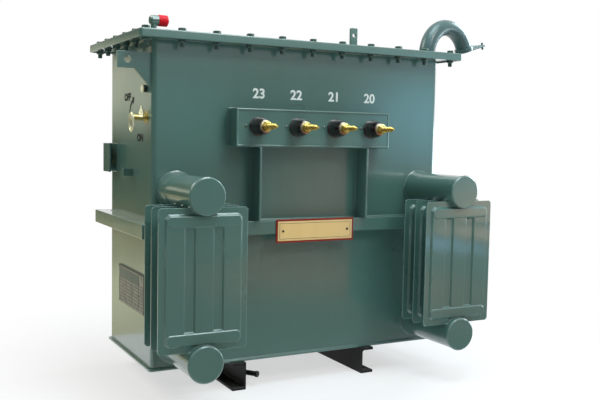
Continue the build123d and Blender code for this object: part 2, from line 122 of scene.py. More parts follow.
def edge_mask(tree, normal, low=0.998, high=0.93):
    """Output that is 1 along the corners of a piece, from a rounded normal and the true one."""
    true_normal = wire(tree, "NewGeometry").outputs["Normal"]
    match = wire(tree, "VectorMath", {0: normal, 1: true_normal}, operation="DOT_PRODUCT")
    return ranged(tree, match.outputs["Value"], low, high)


enamel, given, made = new_group(
    "sprayed_enamel", {"Paint": "Color", "Thin paint": "Color", "Gloss loss": "Float",
                       "Wear": "Float", "Dust": "Float"})
place = wire(enamel, "TexCoord").outputs["Object"]
soft_corner = wire(enamel, "Bevel", {"Radius": 0.0018}, samples=6).outputs["Normal"]
corner = edge_mask(enamel, soft_corner)
patches = ranged(enamel, speckle(enamel, place, 3.4, 4.0), 0.3, 0.7)
stretched = wire(enamel, "Mapping", {"Vector": place, "Scale": (26, 26, 2.2)}).outputs[0]
runs = ranged(enamel, speckle(enamel, stretched, 1.0, 3.0), 0.45, 0.8)
chips = ranged(enamel, speckle(enamel, place, 160.0, 5.0), 0.5, 0.62)
shade = blended(enamel, times(enamel, patches, 0.35), given["Paint"],
                blended(enamel, 1.0, given["Paint"], (0.72, 0.76, 0.8, 1), "MULTIPLY"))
shade = blended(enamel, times(enamel, runs, 0.22), shade,
                blended(enamel, 1.0, shade, (0.78, 0.8, 0.72, 1), "MULTIPLY"))
# Corners take the thin paint colour, which is partly a painted highlight along the edges.
shade = blended(enamel, times(enamel, corner, 0.55), shade, given["Thin paint"])
bare = times(enamel, times(enamel, corner, chips), given["Wear"])
shade = blended(enamel, bare, shade, srgb(150, 148, 138))
up = wire(enamel, "SeparateXYZ", {0: wire(enamel, "NewGeometry").outputs["Normal"]}).outputs["Z"]
settled = times(enamel, ranged(enamel, up, 0.35, 0.95),
                ranged(enamel, speckle(enamel, place, 38.0, 5.0), 0.35, 0.75))
settled = times(enamel, settled, given["Dust"])
shade = blended(enamel, settled, shade, srgb(176, 172, 156))
dulled = plus(enamel, times(enamel, patches, 0.1), given["Gloss loss"])
dulled = plus(enamel, times(enamel, settled, 0.35), dulled)
peel = times(enamel, speckle(enamel, place, 380.0, 1.0), 0.03)
waves = speckle(enamel, place, 4.2, 1.0)
relief = wire(enamel, "Bump", {"Height": plus(enamel, peel, waves), "Distance": 0.004,
                               "Normal": soft_corner})
lead_out(enamel, made, shade, dulled, relief.outputs["Normal"])


def finish(name, group, values, **shader):
    """Material whose colour, roughness and relief come from a group with its own values."""
    material = bpy.data.materials.new(name)
    material.use_nodes = True
    tree = material.node_tree
    surface = tree.nodes["Principled BSDF"]
    effect = tree.nodes.new("ShaderNodeGroup")
    effect.node_tree = group
    for socket, value in values.items():
        effect.inputs[socket].default_value = value
    for output, socket in (("Color", "Base Color"), ("Roughness", "Roughness"),
                           ("Normal", "Normal")):
        tree.links.new(effect.outputs[output], surface.inputs[socket])
    for socket, value in shader.items():
        surface.inputs[socket.replace("_", " ")].default_value = value
    return material


def painted(name, paint, thin_paint_and_highlight, gloss_loss, wear=0.0, dust=0.0, **shader):
    """Enamel of one colour, with a second one on corners: thinner paint and a painted highlight."""
    return finish(name, enamel, {
        "Paint": srgb(*paint), "Thin paint": srgb(*thin_paint_and_highlight), "Gloss loss": gloss_loss,
        "Wear": wear, "Dust": dust}, **shader)


def mesh_of(name, bm):
    """Mesh in the shape of a bmesh, which it uses up."""
    mesh = bpy.data.meshes.new(name)
    bm.to_mesh(mesh)
    bm.free()
    return mesh


def placed(name, data):
    """Object that puts a mesh, text, lamp or camera into the scene."""
    holder = bpy.data.objects.new(name, data)
    bpy.context.scene.collection.objects.link(holder)
    return holder


def new_piece(name, bm, materials, body="transformer", sharp=35):
    """Object from a bmesh, smooth apart from its sharp corners, that rides on a body."""
    mesh = mesh_of(name, bm)
    mesh.shade_smooth()
    mesh.set_sharp_from_angle(angle=math.radians(sharp))
    for material in materials:
        mesh.materials.append(material)
    piece = placed(name, mesh)
    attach(piece, body)
    return piece


def joined_faces(node):
    """Bmesh of a CAD node with its loose triangles merged into whole flat faces."""
    bm = bmesh.new()
    bm.from_mesh(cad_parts[node].data)
    bmesh.ops.remove_doubles(bm, verts=bm.verts, dist=1e-5)
    bmesh.ops.dissolve_limit(bm, angle_limit=math.radians(0.6), verts=bm.verts, edges=bm.edges)
    return bm


def round_edges(bm, edges, width, segments):
    """Rounds edges of a bmesh by a radius of about width."""
    bmesh.ops.bevel(bm, geom=edges, offset=width, offset_type="OFFSET", affect="EDGES",
                    segments=segments, profile=0.5, material=-1, clamp_overlap=True)


def sharp_edges(bm, angle=28):
    """Edges where two faces meet at more than an angle."""
    return [e for e in bm.edges if len(e.link_faces) == 2
            and e.calc_face_angle() > math.radians(angle)]


def rounded_piece(node, name, material, width, segments=2,
                  body="transformer"):
    """Piece in the shape of a CAD node with its corners rounded, which stands for the node."""
    bm = joined_faces(node)
    round_edges(bm, sharp_edges(bm), width, segments)
    piece = new_piece(name, bm, [material], body)
    piece.modifiers.new("flat_faces", "WEIGHTED_NORMAL").keep_sharp = True
    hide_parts(node)
    return piece


# The base paint's dark green corner colour is a painted highlight.
base_paint = painted("base_paint", (4, 7, 6), (30, 42, 38), gloss_loss=0.5, wear=0.4, dust=0.12,
                     Specular_IOR_Level=0.3)
plate_edge = 0.0012
for side in ("left", "right"):
    rounded_piece(f"base_channel_{side}", f"channel_{side}", base_paint, plate_edge)

# Tank. Folded sheet steel walls stand on a floor plate, with the seams welded outside. It is
# sprayed with a grey-green machine enamel that has a light orange peel and soft waves.
paint_colour = (75, 111, 103)
# The paler green on the tank's corners is a painted highlight.
tank_paint = painted("tank_paint", paint_colour, (118, 152, 146), gloss_loss=0.26, wear=0.18,
                     dust=0.06, Coat_Weight=1.0, Coat_Roughness=0.13)


def dress(node, material):
    """Gives a CAD node its finish, and leaves its shape alone."""
    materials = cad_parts[node].data.materials
    materials.clear()
    materials.append(material)


dress("tank_shell", tank_paint)
rounded_piece("tank_floor", "floor_plate", tank_paint, plate_edge)
welder = random.Random(11)
ripple_pitch = 1.6


def weld_rings(bm, rings, closed):
    """Skins a row of vertex rings into one bead, joined end to end or capped."""
    pairs = list(zip(rings, rings[1:]))
    if closed:
        pairs.append((rings[-1], rings[0]))
    else:
        bm.faces.new(reversed(rings[0]))
        bm.faces.new(rings[-1])
    for first, second in pairs:
        for i in range(len(first)):
            bm.faces.new((first[i - 1], first[i], second[i], second[i - 1]))


def weld_section(bm, centre, turn, radius, step):
    """Ring of vertices across a bead, wider and narrower by turns like laid ripples."""
    size = radius * welder.uniform(0.94, 1.06) * (1.08 if step % 2 else 0.92)
    angles = [math.pi * i / 4 for i in range(8)]
    return [bm.verts.new(centre + turn @ Vector((size * math.cos(a), size * math.sin(a), 0)))
            for a in angles]


def weld_line(bm, start, end, radius):
    """Lays a rippled weld along a straight seam."""
    run = Vector(end) - Vector(start)
    steps = max(2, round(run.length / (ripple_pitch * radius)))
    turn = run.to_track_quat("Z", "Y")
    weld_rings(bm, [weld_section(bm, Vector(start) + run * step / steps, turn, radius, step)
                    for step in range(steps + 1)], False)


def weld_frame(bm, corners, radius):
    """Lays welds round a closed row of corners."""
    for start, end in zip(corners, corners[1:] + corners[:1]):
        weld_line(bm, start, end, radius)


full_turn = 2 * math.pi


def weld_ring(bm, centre, axis, ring_radius, radius, toward=(1, 0, 0), sweep=full_turn):
    """Lays a weld round a pipe, or along a part of its round with its middle towards a side."""
    axis = Vector(axis)
    closed = sweep == full_turn
    steps = 2 * max(3, round(sweep * ring_radius / (2 * ripple_pitch * radius)))
    rings = []
    for step in range(steps + (0 if closed else 1)):
        side = Matrix.Rotation(sweep * (step / steps - 0.5), 3, axis) @ Vector(toward)
        turn = axis.cross(side).to_track_quat("Z", "Y")
        rings.append(weld_section(bm, Vector(centre) + side * ring_radius, turn, radius, step))
    weld_rings(bm, rings, closed)


shell_low, shell_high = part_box("tank_shell")
floor_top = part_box("tank_floor")[1].z
rim_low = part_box("tank_rim")[0].z
corner_radius, tank_bead = 0.012, 0.0026
seams = bmesh.new()
for z in (floor_top, rim_low):
    for y in (shell_low.y, shell_high.y):
        weld_line(seams, (shell_low.x + corner_radius, y, z),
                  (shell_high.x - corner_radius, y, z), tank_bead)
    for x in (shell_low.x, shell_high.x):
        weld_line(seams, (x, shell_low.y + corner_radius, z),
                  (x, shell_high.y - corner_radius, z), tank_bead)
new_piece("tank_welds", seams, [tank_paint])

# Stiffening band. Folded channel strips, mitred at the corners and welded round the tank at
# half its height. A name plate hangs on the front strip.
fold_edge, band_bead = 0.0022, 0.0017
for side in ("front", "rear", "left", "right"):
    rounded_piece(f"band_{side}", f"band_strip_{side}", tank_paint, fold_edge, segments=3)
seams = bmesh.new()
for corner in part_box("band_front"):
    weld_frame(seams, [(x, y, corner.z) for x, y in (
        (shell_low.x, shell_low.y), (shell_high.x, shell_low.y),
        (shell_high.x, shell_high.y), (shell_low.x, shell_high.y))], band_bead)
new_piece("band_welds", seams, [tank_paint])

# Rim, gasket and cover. The cover is one plate folded down at its edges. It is clamped on a
# cork and rubber gasket by a row of hexagon bolts along each edge. Their darker, flatter green
# is their own paint and partly a painted shade for the nuts in the shadow under the lip.
dress("tank_rim", tank_paint)
# The paler green on the cover's corners is a painted highlight.
cover_paint = painted("cover_paint", paint_colour, (124, 156, 152), gloss_loss=0.26, wear=0.22,
                      dust=0.25, Coat_Weight=1.0, Coat_Roughness=0.13)
cover_edge = 0.0016
rounded_piece("cover", "cover_plate", cover_paint, cover_edge)

cork, given, made = new_group("pressed_cork", {"Cork": "Color", "Grain": "Color"})
place = wire(cork, "TexCoord").outputs["Object"]
cells = wire(cork, "TexVoronoi", {"Vector": place, "Scale": 420.0}).outputs["Color"]
grains = wire(cork, "SeparateXYZ", {0: cells}).outputs["X"]
shade = blended(cork, grains, given["Cork"], given["Grain"])
relief = wire(cork, "Bump", {"Height": speckle(cork, place, 600.0, 3.0), "Distance": 0.0006})
lead_out(cork, made, shade, ranged(cork, grains, 0, 1, 0.75, 0.95), relief.outputs["Normal"])
cork_gasket = finish("cork_gasket", cork, {"Cork": srgb(112, 84, 58), "Grain": srgb(58, 44, 34)})
dress("cover_gasket", cork_gasket)

metal, given, made = new_group(
    "worked_metal", {"Metal": "Color", "Tarnish": "Color", "Dullness": "Float", "Age": "Float",
                     "Marks": "Float"})
place = wire(metal, "TexCoord").outputs["Object"]
soft_corner = wire(metal, "Bevel", {"Radius": 0.0006}, samples=4).outputs["Normal"]
rubbed = edge_mask(metal, soft_corner)
cloud = ranged(metal, speckle(metal, place, 70.0, 5.0), 0.38, 0.68)
kept = math_of(metal, "SUBTRACT", 1.0, rubbed)
aged = times(metal, times(metal, cloud, kept), given["Age"])
shade = blended(metal, aged, given["Metal"], given["Tarnish"])
fine = speckle(metal, place, 1400.0, 2.0)
dull = plus(metal, times(metal, cloud, 0.18), given["Dullness"])
relief = wire(metal, "Bump", {"Height": times(metal, fine, given["Marks"]), "Distance": 0.0003,
                              "Normal": soft_corner})
lead_out(metal, made, shade, dull, relief.outputs["Normal"])


def machined(name, bright, tarnish, dullness, age, marks, metallic=1.0):
    """Bare or plated metal with tarnish in its hollows and fine tool marks."""
    return finish(name, metal, {
        "Metal": srgb(*bright), "Tarnish": srgb(*tarnish), "Dullness": dullness, "Age": age,
        "Marks": marks}, Metallic=metallic)


plated_steel = machined("plated_steel", (150, 158, 156), (72, 82, 80), 0.32, 0.8, 0.5)


def add_disc(bm, place, radius, height, edge, sides=24, edge_steps=2):
    """Disc, rod or prism standing on a place, with its outer corner eased."""
    made = bmesh.ops.create_cone(bm, cap_ends=True, segments=sides, radius1=radius,
                                 radius2=radius, depth=height,
                                 matrix=place @ Matrix.Translation((0, 0, height / 2)))["verts"]
    top = [e for e in {e for v in made for e in v.link_edges}
           if all((place.inverted() @ v.co).z > height * 0.9 for v in e.verts)]
    round_edges(bm, top, edge, edge_steps)


def add_hexagon(bm, place, across_flats, height, chamfer):
    """Hexagon head or nut standing on a place, with its upper corners turned off."""
    add_disc(bm, place, across_flats / math.sqrt(3), height, chamfer, 6, 1)


cover_low, cover_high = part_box("cover")
bolt_front_count, bolt_side_count = 11, 4
bolt_edge_x, bolt_edge_y = 0.024, 0.03
bolt_width, bolt_head, bolt_radius, bolt_tail = 0.018, 0.0075, 0.006, 0.021
bolt_washer, bolt_washer_radius = 0.0022, 0.01188
washer_ease, bolt_chamfer, bolt_end = 0.0006, 0.0012, 0.001
row_x = cover_high.x - bolt_edge_x
row_y = cover_high.y - bolt_edge_y
spots = [(row_x * (2 * i / (bolt_front_count - 1) - 1), side * row_y)
         for i in range(bolt_front_count) for side in (-1, 1)]
side_step = 2 * row_y / (bolt_side_count + 1)
spots += [(side * row_x, side_step * (i + 1) - row_y)
          for i in range(bolt_side_count) for side in (-1, 1)]
wrench = random.Random(4)
bolts = bmesh.new()
flip = Matrix.Rotation(math.pi, 4, "X")
for x, y in spots:
    spin = Matrix.Rotation(wrench.uniform(0, math.pi / 3), 4, "Z")
    above = Matrix.Translation((x, y, cover_high.z)) @ spin
    below = Matrix.Translation((x, y, rim_low)) @ spin @ flip
    for place in (above, below):
        add_disc(bolts, place, bolt_washer_radius, bolt_washer, washer_ease)
        seat = place @ Matrix.Translation((0, 0, bolt_washer))
        add_hexagon(bolts, seat, bolt_width, bolt_head, bolt_chamfer)
    add_disc(bolts, below, bolt_radius, bolt_tail, bolt_end, 16)
# The bolts' darker green is their paint and partly a painted shade for the nuts under the lip.
bolt_paint_and_shade = painted("bolt_paint_and_shade", (56, 84, 76), (104, 132, 122), gloss_loss=0.42, wear=0.4,
                     dust=0.12, Specular_IOR_Level=0.35)
new_piece("cover_bolts", bolts, [bolt_paint_and_shade], sharp=25)

# Radiators. Each has two header pipes welded to the tank and closed by flat caps, and three
# fins. A fin is two pressed sheets, seam-welded round their edge and welded on the pipes.
for side in ("left", "right"):
    for level in ("lower", "upper"):
        dress(f"header_{side}_{level}", tank_paint)
# The fins' pale blue corner colour is a painted highlight along the pressing edges.
fin_paint = painted("fin_paint", paint_colour, (176, 204, 206), gloss_loss=0.22, wear=0.12,
                    dust=0.06, Coat_Weight=1.0, Coat_Roughness=0.06)
press_round, flange_edge = 0.0019, 0.0009
pipe_radius, pipe_axis = 0.04445, (0, 1, 0)
root_radius, root_bead, root_gap = 0.049, 0.003, 0.001
cap_bead, cap_setback = 0.0016, 0.0035
seat_bead, seat_offset, seat_overlap, weld_end = 0.0022, 0.0032, 0.001, 0.0036
for side in ("left", "right"):
    welds = bmesh.new()
    for level, inward in (("lower", 1), ("upper", -1)):
        low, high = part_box(f"header_{side}_{level}")
        axis_x = (low.x + high.x) / 2
        axis_z = (low.z + high.z) / 2
        weld_ring(welds, (axis_x, shell_low.y - root_gap, axis_z), pipe_axis, root_radius,
                  root_bead)
        weld_ring(welds, (axis_x, low.y + cap_setback, axis_z), pipe_axis, pipe_radius, cap_bead)
        for part in ("inner", "middle", "outer"):
            fin_low, fin_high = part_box(f"fin_{side}_{part}")
            mid_y = (fin_low.y + fin_high.y) / 2
            seat_z = (fin_low.z if inward > 0 else fin_high.z) - axis_z
            half_angle = math.acos(abs(seat_z) / pipe_radius)
            for face in (-1, 1):
                spot = Vector((axis_x, mid_y + face * seat_offset, axis_z))
                weld_ring(welds, spot, pipe_axis, pipe_radius, seat_bead, (0, 0, inward),
                          2 * half_angle)
                for end in (-1, 1):
                    reach = end * (pipe_radius + seat_overlap) * math.sin(half_angle)
                    bmesh.ops.create_icosphere(
                        welds, subdivisions=2, radius=weld_end,
                        matrix=Matrix.Translation(spot + Vector((reach, 0, seat_z))))
    new_piece(f"radiator_welds_{side}", welds, [tank_paint])
    for part in ("inner", "middle", "outer"):
        node = f"fin_{side}_{part}"
        bm = joined_faces(node)
        pressed = [e for e in sharp_edges(bm, 18)
                   if all(abs(face.normal.y) > 0.2 for face in e.link_faces)]
        round_edges(bm, pressed, press_round, 2)
        round_edges(bm, sharp_edges(bm, 50), flange_edge, 2)
        piece = new_piece(f"{node}_pressing", bm, [fin_paint], sharp=60)
        piece.modifiers.new("flat_faces", "WEIGHTED_NORMAL").keep_sharp = True
        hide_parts(node)

# Low-voltage pocket. A folded steel box on the front wall, with its face set back behind a thin
# edge, and two plates under it that run down to the band.
sheet_edge, leg_thickness, leg_weld_end = 0.0009, 0.006, 0.003
pocket_bead, leg_bead, leg_top_bead = 0.0022, 0.002, 0.0016
rounded_piece("lv_pocket", "terminal_box", tank_paint, sheet_edge)
rounded_piece("lv_pocket_legs", "terminal_box_legs", tank_paint, plate_edge)


def weld_pocket(bm, node, wall_y):
    """Lays welds where a pocket's four sides meet its wall."""
    low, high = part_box(node)
    weld_frame(bm, [(x, wall_y, z) for x, z in (
        (low.x, low.z), (high.x, low.z), (high.x, high.z), (low.x, high.z))], pocket_bead)


seams = bmesh.new()
weld_pocket(seams, "lv_pocket", shell_low.y)
leg_low, leg_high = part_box("lv_pocket_legs")
for x in (leg_low.x, leg_low.x + leg_thickness, leg_high.x - leg_thickness, leg_high.x):
    top = (x, shell_low.y, leg_high.z)
    weld_line(seams, (x, shell_low.y, leg_low.z), top, leg_bead)
    weld_line(seams, (x, leg_low.y + leg_weld_end, leg_high.z), top, leg_top_bead)
new_piece("terminal_box_welds", seams, [tank_paint])

# Low-voltage bushings. Turned porcelain with a dark plum-brown glaze, pressed against the pocket
# by the stud's nut. The glaze is thin and paler on the edges, with fine pits.
glaze, given, made = new_group(
    "fired_glaze", {"Glaze": "Color", "Thin glaze": "Color", "Dullness": "Float"})
place = wire(glaze, "TexCoord").outputs["Object"]
soft_corner = wire(glaze, "Bevel", {"Radius": 0.0015}, samples=4).outputs["Normal"]
thin = edge_mask(glaze, soft_corner, 0.999, 0.96)
pools = ranged(glaze, speckle(glaze, place, 60.0, 4.0), 0.35, 0.7)
shade = blended(glaze, times(glaze, pools, 0.5), given["Glaze"],
                blended(glaze, 1.0, given["Glaze"], (0.45, 0.4, 0.55, 1), "MULTIPLY"))
shade = blended(glaze, times(glaze, thin, 0.6), shade, given["Thin glaze"])
pits = speckle(glaze, place, 900.0, 1.0)
dull = plus(glaze, times(glaze, pools, 0.06), given["Dullness"])
relief = wire(glaze, "Bump", {"Height": pits, "Distance": 0.0001, "Normal": soft_corner})
lead_out(glaze, made, shade, dull, relief.outputs["Normal"])
porcelain = finish("porcelain", glaze, {
    "Glaze": srgb(28, 10, 16), "Thin glaze": srgb(96, 50, 46), "Dullness": 0.06},
    Coat_Weight=1.0, Coat_Roughness=0.02)


def turned(bm, place, profile, steps=48):
    """Turns a profile of radius and height round its own axis, standing on a place."""
    verts = [bm.verts.new(place @ Vector((radius, 0, height))) for radius, height in profile]
    edges = [bm.edges.new(pair) for pair in zip(verts, verts[1:])]
    axis = place.to_3x3() @ Vector((0, 0, 1))
    bmesh.ops.spin(bm, geom=verts + edges, cent=place.translation, axis=axis,
                   angle=full_turn, steps=steps, use_merge=True)
    bmesh.ops.remove_doubles(bm, verts=bm.verts, dist=1e-6)
    bmesh.ops.recalc_face_normals(bm, faces=bm.faces)


def arc(centre, radius, start, end, count=6):
    """Points of radius and height along an arc, its angles in degrees from outwards."""
    angles = [math.radians(start + (end - start) * i / count) for i in range(count + 1)]
    return [(centre[0] + radius * math.cos(a), centre[1] + radius * math.sin(a)) for a in angles]


bushing_base, bushing_waist, bushing_head, bushing_length = 0.0255, 0.0245, 0.018, 0.048
bushing_bore, bushing_collar, waist_height = 0.009, 0.0075, 0.0095
dome_start, dome_radius, dome_angle = 0.0135, 0.0846, 22.6
foot_bevel, foot_round, waist_round, head_round = 0.001, 0.003, 0.0008, 0.002
face_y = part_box("lv_bushing_1")[0].y + bushing_length
bushing_places = []
for number in range(1, 5):
    low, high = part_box(f"lv_bushing_{number}")
    place = Matrix.Translation(((low.x + high.x) / 2, face_y, (low.z + high.z) / 2))
    place @= Matrix.Rotation(math.pi / 2, 4, "X")
    bushing_places.append(place)
    profile = [(bushing_bore, 0), (bushing_base - foot_bevel, 0)]
    profile += arc((bushing_base - foot_round, bushing_collar - foot_round), foot_round, 0, 90)
    profile += arc((bushing_waist + waist_round, waist_height), waist_round, 270, 180, 4)
    profile += arc((bushing_waist - dome_radius, dome_start), dome_radius, 0, dome_angle, 8)
    profile += arc((bushing_head - head_round, bushing_length - head_round), head_round, 20, 90, 4)
    profile += [(bushing_bore, bushing_length)]
    bm = bmesh.new()
    turned(bm, place, profile)
    piece = new_piece(f"porcelain_bushing_{number}", bm, [porcelain])
    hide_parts(f"lv_bushing_{number}")

# Terminal studs. Turned brass with rolled threads and a long point, a thick tinned washer and
# one hexagon nut. The brass is bright where it was cut and a little brown in the hollows.
brass = machined("brass", (228, 202, 112), (116, 92, 40), 0.18, 0.55, 1.0)
stud_radius, thread_pitch, thread_depth = 0.007, 0.002, 0.0009
washer_radius, washer_thickness, nut_width, nut_height = 0.016, 0.004, 0.024, 0.013
stud_reach, tip_length, tip_radius = 0.114, 0.014, 0.003
washer_edge, nut_chamfer = 0.0008, 0.0022


def threaded(start, end, radius, end_radius=None):
    """Profile of a thread from one height to another, narrowing where an end radius is given."""
    end_radius = radius if end_radius is None else end_radius
    turns = max(1, int((end - start) / thread_pitch))
    points = []
    for i in range(turns):
        crest = radius + (end_radius - radius) * i / turns
        points += [(crest, start + i * thread_pitch),
                   (crest - thread_depth, start + (i + 0.5) * thread_pitch)]
    return points + [(end_radius, end)]


tinned_brass = machined("tinned_brass", (226, 218, 190), (140, 130, 104), 0.26, 0.6, 0.8)
washers = bmesh.new()
studs = bmesh.new()
for place in bushing_places:
    seat = place @ Matrix.Translation((0, 0, bushing_length))
    add_disc(washers, seat, washer_radius, washer_thickness, washer_edge, 40)
    spin = Matrix.Rotation(wrench.uniform(0, math.pi / 3), 4, "Z")
    nut_seat = seat @ Matrix.Translation((0, 0, washer_thickness)) @ spin
    add_hexagon(studs, nut_seat, nut_width, nut_height, nut_chamfer)
    thread_start = bushing_length + washer_thickness + nut_height - thread_pitch
    thread_end = stud_reach - tip_length
    profile = [(0, thread_start)] + threaded(thread_start, thread_end, stud_radius)
    profile += threaded(thread_end, stud_reach, stud_radius, tip_radius)[1:]
    profile += [(0, stud_reach)]
    turned(studs, place, profile, 28)
piece = new_piece("terminal_studs", studs, [brass], sharp=25)
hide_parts("lv_terminals")
new_piece("terminal_washers", washers, [tinned_brass], sharp=25)

# Clamp screws. One small plated pan-head screw sits left of each bushing and a little above its
# middle, turned into the pocket's face.
screw_offset, screw_rise = 0.033, 0.002
screw_radius, screw_height, screw_round = 0.0035, 0.0022, 0.001
screws = bmesh.new()
for place in bushing_places:
    spot = place @ Matrix.Translation((-screw_offset, screw_rise, 0))
    add_disc(screws, spot, screw_radius, screw_height, screw_round, 16)
new_piece("clamp_screws", screws, [plated_steel])

# Terminal numbers. White enamel numbers, stencilled on the tank wall above the bushings when the
# green is dry.
stencil_paint = painted("stencil_paint", (232, 240, 236), (196, 212, 208), gloss_loss=0.38)
capital_share = 0.72


def lettering(name, text, place, height, material, wide=1.02, bold=0.03):
    """Flat painted figures on a place that faces along its own Z."""
    curve = bpy.data.curves.new(name, "FONT")
    curve.body, curve.size, curve.offset = text, 1.0, bold
    curve.align_x = "CENTER"
    writing = placed(name + "_text", curve)
    bpy.context.view_layer.update()
    mesh = bpy.data.meshes.new_from_object(writing)
    bpy.data.objects.remove(writing)
    scale = height / capital_share
    mesh.transform(place @ Matrix.Diagonal((scale * wide, scale, scale, 1)))
    mesh.materials.clear()
    mesh.materials.append(material)
    piece = placed(name, mesh)
    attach(piece, "transformer")


number_height, number_bottom, paint_film = 0.026, 0.787, 0.0003
upright_front = Matrix.Rotation(math.pi / 2, 4, "X")
for text, x in (("23", -0.149), ("22", -0.036), ("21", 0.084), ("20", 0.202)):
    place = Matrix.Translation((x, shell_low.y - paint_film, number_bottom)) @ upright_front
    lettering(f"terminal_number_{text}", text, place, number_height, stencil_paint)

# High-voltage side. A deeper pocket on the rear wall holds three shedded porcelain bushings
# with brass heads, studs and nuts.
rounded_piece("hv_pocket", "rear_terminal_box", tank_paint, sheet_edge)
seams = bmesh.new()
weld_pocket(seams, "hv_pocket", shell_high.y)
new_piece("rear_terminal_box_welds", seams, [tank_paint])
hv_low, hv_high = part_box("hv_pocket")
hv_spacing, hv_bore, hv_flange, hv_core, hv_shed = 0.255, 0.0065, 0.042, 0.023, 0.0458
hv_flange_height, shed_pitch, shed_count, hv_length = 0.014, 0.045, 3, 0.194
root_round, shed_round, under_round, under_drop = 0.006, 0.0025, 0.004, 0.0105
over_round, over_rise = 0.008, 0.0145
hv_face_setback, hv_middle_z = 0.002, (hv_low.z + hv_high.z) / 2
facing_rear = Matrix.Rotation(-math.pi / 2, 4, "X")
hv_places = [Matrix.Translation((x, hv_high.y - hv_face_setback, hv_middle_z)) @ facing_rear
             for x in (-hv_spacing, 0, hv_spacing)]
insulators = bmesh.new()
for place in hv_places:
    profile = [(hv_bore, 0), (hv_flange - foot_bevel, 0)]
    profile += arc((hv_flange - foot_round, hv_flange_height - foot_round), foot_round, 0, 90)
    profile += arc((hv_core + root_round, hv_flange_height + root_round), root_round, 270, 180)
    for i in range(shed_count):
        rim = hv_flange_height + shed_pitch * (i + 1) - shed_round
        profile += arc((hv_core + under_round, rim - under_drop), under_round, 180, 110, 4)
        profile += arc((hv_shed - shed_round, rim), shed_round, -75, 65, 6)
        profile += arc((hv_core + over_round, rim + over_rise), over_round, 245, 180, 5)
    profile += arc((hv_core - foot_round, hv_length - foot_round), foot_round, 0, 90)
    profile += [(hv_bore, hv_length)]
    turned(insulators, place, profile, 56)
piece = new_piece("rear_insulators", insulators, [porcelain], sharp=50)
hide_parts("hv_bushings")
fine_edge = 0.0006
rounded_piece("hv_terminals", "rear_studs", brass, fine_edge)

# Name plate. An enamelled plate on the front of the band: a dark red edge, a cream field with a
# thin inner line, and a round-head screw at each end. Its field is bare.
red_edge = painted("name_plate_edge", (128, 30, 22), (168, 60, 44), gloss_loss=0.22, wear=0.1,
                   dust=0.05, Coat_Weight=0.5, Coat_Roughness=0.1)
cream_field = painted("name_plate_field", (226, 194, 130), (240, 216, 166), gloss_loss=0.2,
                      wear=0.05, dust=0.03, Coat_Weight=0.5, Coat_Roughness=0.1)
dark_line = painted("name_plate_line", (70, 44, 30), (96, 66, 50), gloss_loss=0.25)
strip_edge = 0.0008
rounded_piece("name_plate", "name_plate_edge", red_edge, strip_edge)
plate_low, plate_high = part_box("name_plate")
edge_width, line_inset, line_width = 0.0055, 0.0105, 0.0011
field_rise, line_rise = 0.0006, 0.0008


def flat_panel(bm, low, high, rise, material_index):
    """Thin panel between two corners on a face, which stands a little proud of it."""
    size = [side or 2 * rise for side in Vector(high) - Vector(low)]
    middle = (Vector(low) + Vector(high)) / 2
    cube = bmesh.ops.create_cube(bm, size=1.0, matrix=Matrix.Translation(middle)
                                 @ Matrix.Diagonal((*size, 1)))["verts"]
    for face in {face for vert in cube for face in vert.link_faces}:
        face.material_index = material_index


plate_y = plate_low.y
panel = bmesh.new()
flat_panel(panel, (plate_low.x + edge_width, plate_y, plate_low.z + edge_width),
           (plate_high.x - edge_width, plate_y, plate_high.z - edge_width), field_rise, 0)
left, right = plate_low.x + line_inset, plate_high.x - line_inset
bottom, top = plate_low.z + line_inset, plate_high.z - line_inset
for start_x, end_x, start_z, end_z in (
        (left, right, bottom, bottom + line_width), (left, right, top - line_width, top),
        (left, left + line_width, bottom, top), (right - line_width, right, bottom, top)):
    flat_panel(panel, (start_x, plate_y, start_z), (end_x, plate_y, end_z), line_rise, 1)
new_piece("name_plate_field", panel, [cream_field, dark_line], sharp=30)
plate_screws = bmesh.new()
plate_screw_inset, plate_screw_radius, plate_screw_height = 0.021, 0.0032, 0.002
for x in (plate_low.x + plate_screw_inset, plate_high.x - plate_screw_inset):
    spot = Matrix.Translation((x, plate_y - field_rise, (plate_low.z + plate_high.z) / 2))
    add_disc(plate_screws, spot @ upright_front, plate_screw_radius, plate_screw_height,
             screw_round, 16)
new_piece("name_plate_screws", plate_screws, [base_paint])

# Rating plate. Etched aluminium on the left wall, with a ruled grid of empty fields, held by
# four rivets. A dark line along its top and front edges is a painted shadow.
etched = machined("rating_plate_metal", (138, 138, 128), (112, 116, 108), 0.45, 0.7, 0.8, 0.2)
etched_and_shadow_line = painted("rating_plate_line_and_shadow", (66, 68, 62), (84, 86, 80), gloss_loss=0.5)
etched_block = painted("rating_plate_block", (92, 104, 96), (112, 122, 112), gloss_loss=0.45)
rounded_piece("rating_plate", "rating_plate_sheet", etched, fine_edge)
rating_low, rating_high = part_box("rating_plate")
rule, rule_rise, block_rise = 0.0009, 0.0004, 0.00035
shadow_line, shadow_line_rise, margin = 0.0035, 0.0005, 0.008
row_count, column_shares, block_share = 7, (0.0, 0.18, 0.46, 0.72, 1.0), 0.24
inner_low, inner_high = (Vector((rating_low.x, corner.y + inward, corner.z + inward))
                         for corner, inward in ((rating_low, margin), (rating_high, -margin)))
block_bottom = inner_high.z - block_share * (rating_high.z - rating_low.z)
block_y = inner_low.y + column_shares[1] * (rating_high.y - rating_low.y)
ruling = bmesh.new()
flat_panel(ruling, (rating_low.x, block_y, block_bottom), inner_high, block_rise, 1)
for row in range(row_count + 1):
    z = inner_low.z + (block_bottom - inner_low.z) * row / row_count
    flat_panel(ruling, (rating_low.x, inner_low.y, z - rule / 2),
               (rating_low.x, inner_high.y, z + rule / 2), rule_rise, 0)
